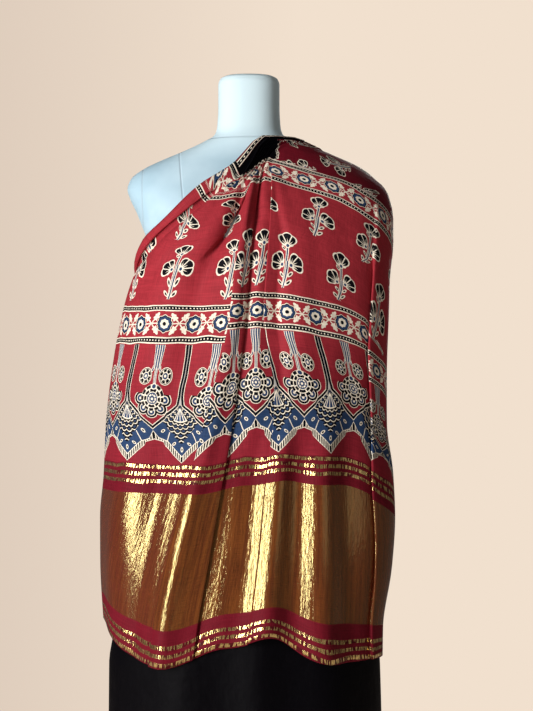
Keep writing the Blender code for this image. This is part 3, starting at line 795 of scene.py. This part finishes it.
def fan_flower(add, under, place, base, turn, reach):
    """A black fan of three petals, edged and veined in cream, over an indigo calyx."""
    half_petal = 0.42
    tilt = (0, 0, math.radians(turn))
    local = add("Mapping", place, (*base, 0), tilt, (reach, reach, 1), vector_type="TEXTURE")
    x = add("SeparateXYZ", local)
    away = add("VectorMath", local, operation="LENGTH")
    petal = add("WRAP", add("ARCTAN2", x.node.outputs[1], x), half_petal, -half_petal)
    bulge = add("MULTIPLY_ADD", add("MULTIPLY", petal, petal), 0.9, 0.94)
    rim = add("MULTIPLY", oval(add, local, (half_petal, 0), 0, (0.46, 0.62)), bulge)
    under = rings(add, under, rim, (1.0, CREAM), (0.84, IRON_BLACK))
    side = add("ABSOLUTE", petal)
    vein = add("MULTIPLY", add("SUBTRACT", half_petal, side), away)
    spike = add("ADD", add("MULTIPLY", side, away), add("MULTIPLY", away, 0.10))
    lines = add("MAXIMUM", add("LESS_THAN", vein, 0.034), add("LESS_THAN", spike, 0.052))
    under = lay(add, under, CREAM, lines, add("LESS_THAN", rim, 0.9))
    return rings(add, under, away, (0.17, CREAM), (0.10, INDIGO))


def curved_stem(add, under, x, y, middle, bend, at, ends):
    """An indigo stem with cream edges, on the curve middle + bend (y - at) squared."""
    rise = add("SUBTRACT", y, at)
    centre = add("MULTIPLY_ADD", add("MULTIPLY", rise, rise), bend, middle)
    away = only_between(add, apart(add, x, centre), y, *ends)
    return rings(add, under, away, (2.7, CREAM), (1.3, INDIGO))


def flower_sprays(add, under, x, y):
    """The plant block: three fan flowers on bent stems, with small leaves; y runs down it."""
    place = add("CombineXYZ", x, y)
    under = leaves(
        add,
        under,
        place,
        ((7.5, 23.5), -42, (6.4, 3.0)),
        ((-8.0, 24.0), 48, (6.0, 2.8)),
        ((4.2, 37.0), -40, (7.4, 3.2)),
        ((-11.5, 37.0), 42, (6.6, 3.0)),
        ((-5.5, -20.0), 48, (5.5, 2.4)),
    )
    under = curved_stem(add, under, x, y, 1.5, -0.0016, -24, (-25, 46))
    under = curved_stem(add, under, x, y, 3.0, -0.0040, -2, (2, 46))
    under = fan_flower(add, under, place, (2.0, -25.0), -90, 28)
    sided = add("CombineXYZ", apart(add, x, 0.5), y)
    return fan_flower(add, under, sided, (9.0, 8.5), -32, 27)


def plant_places(add, u, v, body):
    """Where the plants stand: two staggered rows on the panel, and turned ones on the border."""
    lower = add("GREATER_THAN", v, SECOND_PLANTS)
    panel_x = add("WRAP", add("SUBTRACT", add("MULTIPLY_ADD", lower, -HALF, u), QUARTER), HALF, -HALF)
    panel_y = add("MULTIPLY_ADD", lower, -PLANT_PITCH, add("SUBTRACT", v, PLANT_MIDDLE))
    across_pitch, along_pitch = BORDER_PITCHES
    row = add("DIVIDE", add("SUBTRACT", u, BORDER_PLANTS), across_pitch)
    odd = add("FLOORED_MODULO", add("FLOOR", row), 2)
    along = add("MULTIPLY_ADD", odd, along_pitch / 2, v)
    border_x = add("MULTIPLY", add("WRAP", along, along_pitch / 2, -along_pitch / 2), BORDER_SHRINK)
    border_y = add("MULTIPLY", add("SUBTRACT", add("FRACT", row), 0.5), BORDER_ROOM)
    border_y = add("MULTIPLY_ADD", add("LESS_THAN", u, BORDER_PLANTS), FAR, border_y)
    return add("Mix", body, panel_x, border_x), add("Mix", body, panel_y, border_y)


def arch_row(add, under, u, y):
    """The row of pointed cups: indigo lobes under a black line, with a hatched hem below."""
    m = add("PINGPONG", u, HALF)
    upper = bent_line(add, m, (0, 88), (5, 98), (27, 117), (31, 124), (55, 146))
    lower = bent_line(add, m, (0, 195), (30, 166), (46, 160), (55, 147))
    hem = bent_line(add, m, (0, 210), (36, 176), (39, 168), (55, 163))
    top, low, end = (add("SUBTRACT", y, line) for line in (upper, lower, hem))
    for least_top, foot, ink in (
        (-9.6, end, CREAM),
        (-7.8, add("ADD", end, 1.5), IRON_BLACK),
        (-2.2, add("SUBTRACT", low, 1.8), CREAM),
        (-0.4, low, INDIGO),
    ):
        inside = (add("GREATER_THAN", top, least_top), add("LESS_THAN", foot, 0))
        under = lay(add, under, ink, *inside)
    hatch = add("LESS_THAN", add("WRAP", m, 2.2, -2.2), -0.3)
    below = (add("GREATER_THAN", low, 1.8), add("LESS_THAN", end, -1.5))
    under = lay(add, under, CREAM, hatch, *below)
    return under, m, all_of(add, add("GREATER_THAN", top, 0), add("LESS_THAN", low, 0))


def arch_stems(add, under, m, y):
    """Lines hanging from the band: a black pair to each cup, a fine blue bundle to each lotus,
    which splits below into a thin stem and two bent ones."""
    flare = add("MULTIPLY", add("MAXIMUM", add("SUBTRACT", y, 78), 0), 0.18)
    pair = only_between(add, add("SUBTRACT", m, flare), y, 1, 93)
    under = rings(add, under, pair, (6.6, CREAM), (5.5, IRON_BLACK), (0.6, PALE_GREY))
    beside = add("SUBTRACT", HALF, m)
    fork = 34
    swing = add("SUBTRACT", y, fork)
    branch = add("MULTIPLY_ADD", add("MULTIPLY", swing, swing), -0.045, beside)
    branch = only_between(add, apart(add, branch, 5.5), y, fork, 50)
    under = rings(add, under, branch, (2.5, CREAM), (1.3, INDIGO))
    narrow = add("MULTIPLY", add("GREATER_THAN", y, 38), 3.2)
    narrow = add("MULTIPLY_ADD", add("MINIMUM", y, 40), 0.09, narrow)
    bundle = add("ADD", only_between(add, beside, y, 1, 66), narrow)
    under = rings(add, under, bundle, (9.6, CREAM), (8.8, BUNDLE_BLUE))
    line = add("LESS_THAN", add("PINGPONG", beside, 2.2), 0.75)
    return lay(add, under, CREAM, line, add("LESS_THAN", bundle, 9.2))


def petal_ring(add, under, x, y, radius, petals, inks):
    """A ring of petals round the origin, each printed as discs on each other."""
    angle = add("PINGPONG", add("ARCTAN2", y, x), math.pi / petals)
    away = length(add, x, y)
    beside = add("MULTIPLY", away, add("SINE", angle))
    along = add("SUBTRACT", add("MULTIPLY", away, add("COSINE", angle)), radius)
    return rings(add, under, length(add, beside, along), *inks)


def lotus_heads(add, under, m, y):
    """A hanging lotus between two small flowers: rings of black dashes round a blue heart, and
    five wide petals below."""
    x = add("SUBTRACT", HALF, m)
    below = add("SUBTRACT", y, 86)
    low_half = add("MULTIPLY_ADD", add("LESS_THAN", below, -9), FAR, x)
    petals = ((12.4, CREAM), (11.2, IRON_BLACK), (7.4, CREAM), (6.0, INDIGO), (2.2, CREAM))
    under = petal_ring(add, under, low_half, below, 24.0, 8, petals)
    away = length(add, x, below)
    under = rings(add, under, away, (22.5, CREAM))
    for radius, half_width, count in ((19.6, 2.5, 12), (13.2, 2.3, 9)):
        under = dashes(add, under, x, below, radius, half_width, count, IRON_BLACK)
    under = rings(add, under, away, (9.6, INDIGO))
    under = dashes(add, under, x, below, 6.2, 1.3, 7, CREAM)
    under = rings(add, under, away, (2.2, CREAM))
    apex = oval(add, add("CombineXYZ", x, y), (0, 67), 0, (5.5, 5.0))
    under = rings(add, under, apex, (1.0, CREAM), (0.7, INDIGO))
    side_x, side_y = add("MULTIPLY", add("SUBTRACT", x, 19.5), 1.12), add("SUBTRACT", y, 50)
    side = length(add, side_x, side_y)
    under = rings(add, under, side, (14.0, CREAM), (12.8, IRON_BLACK), (11.6, CREAM))
    under = dashes(add, under, side_x, side_y, 8.8, 2.3, 7, IRON_BLACK)
    return rings(add, under, side, (5.0, INDIGO), (2.4, CREAM))


def cup_flowers(add, under, m, y, within):
    """What fills each cup: a black fan of scales with blue hearts, under a rayed blue cap, cream
    lines that part its lobes, and small drops."""
    divide = add("MULTIPLY_ADD", add("SUBTRACT", y, 150), -0.45, add("SUBTRACT", m, 24))
    divide = (between(add, divide, -0.9, 0.9), between(add, y, 148, 176))
    under = lay(add, under, CREAM, *divide, within)
    down = add("SUBTRACT", y, 98)
    away = length(add, m, down)
    angle = add("ARCTAN2", m, down)
    scale_row = 9
    row = add("MULTIPLY", add("FLOOR", add("DIVIDE", away, scale_row)), math.pi / 2)
    scallop = add("ABSOLUTE", add("COSINE", add("MULTIPLY_ADD", angle, 11, row)))
    sagging = add("MULTIPLY_ADD", scallop, -4.0, add("ADD", away, 4.0))
    depth = add("FRACT", add("DIVIDE", sagging, scale_row))
    narrowing = add("MULTIPLY", add("SUBTRACT", 174, y), 0.78)
    fan = all_of(add, add("LESS_THAN", m, narrowing), within)
    under = lay(add, under, IRON_BLACK, fan)
    heart = (between(add, depth, 0.10, 0.45), add("GREATER_THAN", scallop, 0.80))
    under = lay(add, under, INDIGO, fan, *heart)
    under = lay(add, under, CREAM, fan, between(add, depth, 0.76, 0.97))
    for reach, spread, ink in ((31.0, 0.62, IRON_BLACK), (29.0, 0.54, CREAM), (26.4, 0.45, INDIGO)):
        cap = all_of(add, add("LESS_THAN", away, reach), add("LESS_THAN", angle, spread), within)
        under = lay(add, under, ink, cap)
    ray = add("LESS_THAN", add("MULTIPLY", add("PINGPONG", angle, 0.15), away), 0.8)
    under = lay(add, under, CREAM, ray, cap)
    drops = [(*drop, (5.0, 2.7)) for drop in (((36, 147), 40), ((16, 171), 35), ((0, 182), 90))]
    return leaves(add, under, add("CombineXYZ", m, y), *drops)


def zari_lines(add, v):
    """1 on the gold lines woven before and after the tissue."""
    gold = 0
    for first, pitch, half_width, start, end in ZARI_LINES:
        away = add("WRAP", add("SUBTRACT", v, first), pitch / 2, -pitch / 2)
        line = all_of(add, between(add, away, -half_width, half_width), between(add, v, start, end))
        gold = add("MAXIMUM", gold, line)
    return gold


def cloth_place(add):
    """The place on the flat cloth, in millimetres."""
    return add("VectorMath", add("UVMap", uv_map="flat_cloth"), (1000, 1000, 0), operation="MULTIPLY")


def yarn_noise(add, place, across, along, detail, *roughness):
    """Uneven yarns: noise in patches about 1 / across mm wide and 1 / along mm long."""
    drawn = add("VectorMath", place, (across, along, 1), operation="MULTIPLY")
    return add("TexNoise", drawn, 1.0, detail, *roughness, noise_dimensions="2D")


def plain_weave(add, x, y, thread):
    """The bumps of warp and weft, a thread apart, from -1 to 1."""
    wave = math.tau / thread
    return add("MULTIPLY", *(add("SINE", add("MULTIPLY", way, wave)) for way in (x, y)))


def block_printed_silk():
    """Ajrakh on silk: soft satin with a low, broad gloss, inks sunk into the weave, slubs across
    it, and lines of zari that flash only where they face the light."""
    silk, add = new_finish("block_printed_silk")
    flat = cloth_place(add)
    # Blocks set by hand and cloth that gives: every line strays by up to 3 mm
    stray = add("TexNoise", flat, 0.018, 1.0, noise_dimensions="2D").node.outputs[1]
    stray = add("VectorMath", stray, (0.5, 0.5, 0.5), operation="SUBTRACT")
    stray = add("VectorMath", stray, (7, 7, 0), operation="MULTIPLY")
    u = add("SeparateXYZ", add("VectorMath", flat, stray, operation="ADD"))
    v = u.node.outputs[1]
    body = add("LESS_THAN", v, 0)
    colour = printed_ground(add, u, v, body)
    band_away = add("WRAP", add("SUBTRACT", v, BAND_MIDDLE), BAND_PITCH / 2, -BAND_PITCH / 2)
    band_away = only_between(add, add("ABSOLUTE", band_away), v, *BAND_ROWS)
    colour = dotted_lines(add, colour, u, v, body, band_away)
    colour = rosettes(add, colour, u, band_away)
    colour = crossed_leaves(add, colour, u, band_away)
    colour = flower_sprays(add, colour, *plant_places(add, u, v, body))
    y = add("SUBTRACT", v, ARCH_START)
    colour, m, within = arch_row(add, colour, u, y)
    colour = cup_flowers(add, colour, m, y, within)
    colour = arch_stems(add, colour, m, y)
    colour = lotus_heads(add, colour, m, y)
    zari = zari_lines(add, v)
    glint = add("MapRange", yarn_noise(add, flat, 0.3, 0.05, 1.0), 0.46, 0.56)
    colour = lay(add, colour, lay(add, ZARI_CORE, ZARI_GOLD, glint), zari)
    slub = yarn_noise(add, flat, 0.02, 0.5, 2.0)
    warp = yarn_noise(add, flat, 0.6, 0.03, 2.0)
    tone = add("MULTIPLY_ADD", add("ADD", slub, warp), 0.50, 0.50)
    colour = add("HueSaturation", 0.5, 1.0, tone, 1.0, colour)
    # A thread every 1.5 mm, many times as coarse as real silk, so that it shows at this size
    weave = plain_weave(add, u, v, SILK_THREAD)
    crumple = add("TexNoise", flat, 0.03, 2.0, noise_dimensions="2D")
    relief = add("MULTIPLY_ADD", crumple, 12.0, add("ADD", add("MULTIPLY", weave, 0.4), slub))
    finish_surface(
        add,
        Base_Color=colour,
        Metallic=add("MULTIPLY", zari, glint),
        Roughness=add("MULTIPLY_ADD", zari, -0.36, 0.52),
        Specular_IOR_Level=0.05,
        bump=(0.35, 0.0004, relief),
    )
    return silk


def zari_tissue():
    """Tissue of flat gold zari on dark red silk: brown where it looks away from the light and
    bright pale gold on the ridges that face it, finely crushed along the warp."""
    tissue, add = new_finish("zari_tissue")
    flat = cloth_place(add)
    crush = yarn_noise(add, flat, 0.16, 0.008, 4.0, 0.6)
    fine = yarn_noise(add, flat, 1.1, 0.05, 2.0)
    picks = yarn_noise(add, flat, 0.05, 1.2, 2.0)
    crinkle = yarn_noise(add, flat, 0.20, 0.05, 3.0, 0.6)
    gold = lay(add, "#5a2912", "#78401a", add("MapRange", crush, 0.36, 0.66))
    shade = add("MULTIPLY_ADD", fine, 0.5, add("MULTIPLY", picks, 0.5))
    shade = add("MapRange", shade, 0.34, 0.6, 0.6, 1.1)
    colour = add("HueSaturation", 0.5, 1.0, shade, 1.0, gold)
    # Towards both edges the colour turns to a dark red
    from_middle = apart(add, add("SeparateXYZ", flat), 560)
    edge_red_share = add("MapRange", from_middle, 120, 380, 0.15, 0.7)
    edge_red_share = add("MULTIPLY", edge_red_share, add("MapRange", fine, 0.3, 0.6, 0.4, 1.0))
    relief = add("MULTIPLY_ADD", crush, 2.0, add("MULTIPLY_ADD", fine, 0.12, add("MULTIPLY", picks, 0.08)))
    relief = add("MULTIPLY_ADD", crinkle, 3.0, relief)
    finish_surface(
        add,
        Base_Color=lay(add, colour, "#5a1c1c", edge_red_share),
        Roughness=add("MULTIPLY_ADD", fine, 0.06, 0.12),
        IOR=2.0,
        Specular_Tint="#ffeda0",
        bump=(0.4, 0.0005, relief),
    )
    return tissue


def canvas_cover():
    """Cotton canvas stretched over the padded form and primed: matt, cool white, with a plain
    weave and flat seams at the neck, down the front and round the arm."""
    canvas, add = new_finish("form_canvas")
    place = add("TexCoord").node.outputs[3]
    place = add("VectorMath", place, (1000, 1000, 1000), operation="MULTIPLY")
    x = add("SeparateXYZ", place)
    y, z = x.node.outputs[1:]
    side = add("ABSOLUTE", x)
    neck_seam, arm_seam, arm_start, waist, front_seam = 1449, 184, 1240, 1090, 84
    neck = apart(add, z, neck_seam)
    front = apart(add, side, add("MULTIPLY_ADD", apart(add, z, waist), 0.11, front_seam))
    front = add("MULTIPLY_ADD", add("GREATER_THAN", z, neck_seam), FAR, front)
    arm = apart(add, side, arm_seam)
    arm = add("MULTIPLY_ADD", add("LESS_THAN", z, arm_start), FAR, arm)
    seam = add("MapRange", add("MINIMUM", neck, add("MINIMUM", front, arm)), 0.0, 2.4)
    # A thread every 1.6 mm, about twice as coarse as real canvas, so that it shows at this size
    weave = plain_weave(add, add("ADD", x, y), z, CANVAS_THREAD)
    cloud = add("TexNoise", place, 0.012, 3.0)
    colour = lay(add, "#adcbda", "#c1dbe8", add("MapRange", cloud, 0.35, 0.65))
    # Painted light: the neck, from 1.40 m up, is made paler than the shoulders below it
    colour = lay(add, colour, "#d6ecf3", add("MapRange", z, 1400, 1470))
    colour = lay(add, "#a9bcc8", colour, add("MULTIPLY_ADD", seam, 0.5, 0.5))
    relief = add("MULTIPLY_ADD", seam, 6.0, add("MULTIPLY_ADD", cloud, 5.0, add("MULTIPLY", weave, 0.5)))
    finish_surface(
        add,
        Base_Color=colour,
        Roughness=0.82,
        Specular_IOR_Level=0.25,
        bump=(0.4, 0.0005, relief),
    )
    return canvas


def satin_steel():
    """Drawn and brushed steel tube: soft streaks along its length, with a broad highlight."""
    steel, add = new_finish("satin_steel")
    streaks = add("VectorMath", add("TexCoord").node.outputs[3], (2200, 2200, 14), operation="MULTIPLY")
    grain = add("TexNoise", streaks, 1.0, 3.0)
    finish_surface(
        add,
        Base_Color=lay(add, "#8d8f92", "#b9bbbd", grain),
        Metallic=1.0,
        Roughness=add("MULTIPLY_ADD", grain, 0.16, 0.26),
        bump=(0.15, 0.0002, grain),
    )
    return steel


def painted_steel():
    """Steel plate with grey powder paint: a fine orange peel and low gloss, in uneven dust."""
    paint, add = new_finish("painted_steel")
    place = add("TexCoord").node.outputs[3]
    peel = add("TexNoise", place, 700.0, 2.0)
    dust = add("TexNoise", place, 22.0, 3.0)
    finish_surface(
        add,
        Base_Color=lay(add, "#b4b6b8", "#c9cacb", dust),
        Roughness=add("MULTIPLY_ADD", dust, 0.15, 0.42),
        bump=(0.2, 0.0002, peel),
    )
    return paint


def form_body(canvas):
    """The padded body: a grid rolled into rings of the level cuts, closed at foot and neck top.
    The rings crowd together at both ends."""
    turns, levels = 112, 150
    shares, stops = (0, 0.08, 0.9, 1), (0.800, 0.830, 1.540, 1.560)
    heights = np.interp(np.linspace(0, 1, levels + 1), shares, stops)
    cuts = [(height, half, half, front, back) for height, half, front, back in FORM_CUTS]
    mesh = laid_grid(level_cut(cuts, *np.meshgrid(np.linspace(0, math.tau, turns + 1), heights)))
    bmesh.ops.remove_doubles(mesh, verts=mesh.verts, dist=0.0001)
    bmesh.ops.holes_fill(mesh, edges=[edge for edge in mesh.edges if edge.is_boundary])
    bmesh.ops.recalc_face_normals(mesh, faces=mesh.faces)
    return place_object("form_body", mesh, canvas)


def studio_floor():
    """A plain pale floor, with the slight unevenness of rolled vinyl."""
    floor, add = new_finish("studio_vinyl")
    mottle = add("TexNoise", add("TexCoord").node.outputs[3], 3.0, 2.0)
    finish_surface(add, Base_Color=lay(add, "#e6d6c8", "#ece0d4", mottle), Roughness=0.6)
    mesh = bmesh.new()
    bmesh.ops.create_circle(mesh, cap_ends=True, segments=96, radius=1.65)
    made = place_object("floor", mesh, floor)


def studio_air():
    """The pale wall colour all round, with painted shade towards the left, and a weaker light of the same
    warmth from everywhere.
    """
    bpy.context.scene.world, add = new_finish("studio_air", "worlds")
    across = add("SeparateXYZ", add("TexCoord"))
    # Painted shade: the wall darkens towards the left
    wall = lay(add, "#d8c6b6", "#f1e0ce", add("MapRange", across, -0.24, 0.02))
    seen = add("Background", wall, 1.0)
    light = add("Background", "#f3e6dc", 0.14)
    add("OutputWorld", add("MixShader", add("LightPath"), light, seen))


def soft_box(name, place, aim, size, power, tint):
    """A light box of a width and a height, turned towards a point."""
    data = bpy.data.lights.new(name, "AREA")
    data.shape = "RECTANGLE"
    data.size, data.size_y = size
    data.energy = power
    data.color = tint
    away = np.array(place) - np.array(aim)
    tilt = math.acos(away[2] / np.linalg.norm(away))
    set_out(name, data, place, (tilt, 0, math.atan2(away[1], away[0]) + math.pi / 2))


def photographer_view():
    """Level with the waist, a little to the right of the middle, and far enough for a long lens."""
    data = bpy.data.cameras.new("camera")
    data.lens = CAMERA_LENS
    data.sensor_width = 36
    bpy.context.scene.camera = set_out("camera", data, CAMERA_PLACE, (math.pi / 2, 0, 0))


def dress():
    cloth = saree_cloth(block_printed_silk(), zari_tissue())
    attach(cloth, "root")
    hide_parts("saree")
    form = form_body(canvas_cover())
    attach(form, "root")
    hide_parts("torso")
    for node, finish in (("pole", satin_steel()), ("base", painted_steel())):
        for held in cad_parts[node].material_slots:
            held.material = finish


def studio():
    studio_floor()
    studio_air()
    for box in SOFT_BOXES:
        soft_box(*box)
    photographer_view()
    bpy.context.scene.view_settings.view_transform = "Standard"


dress()
studio()
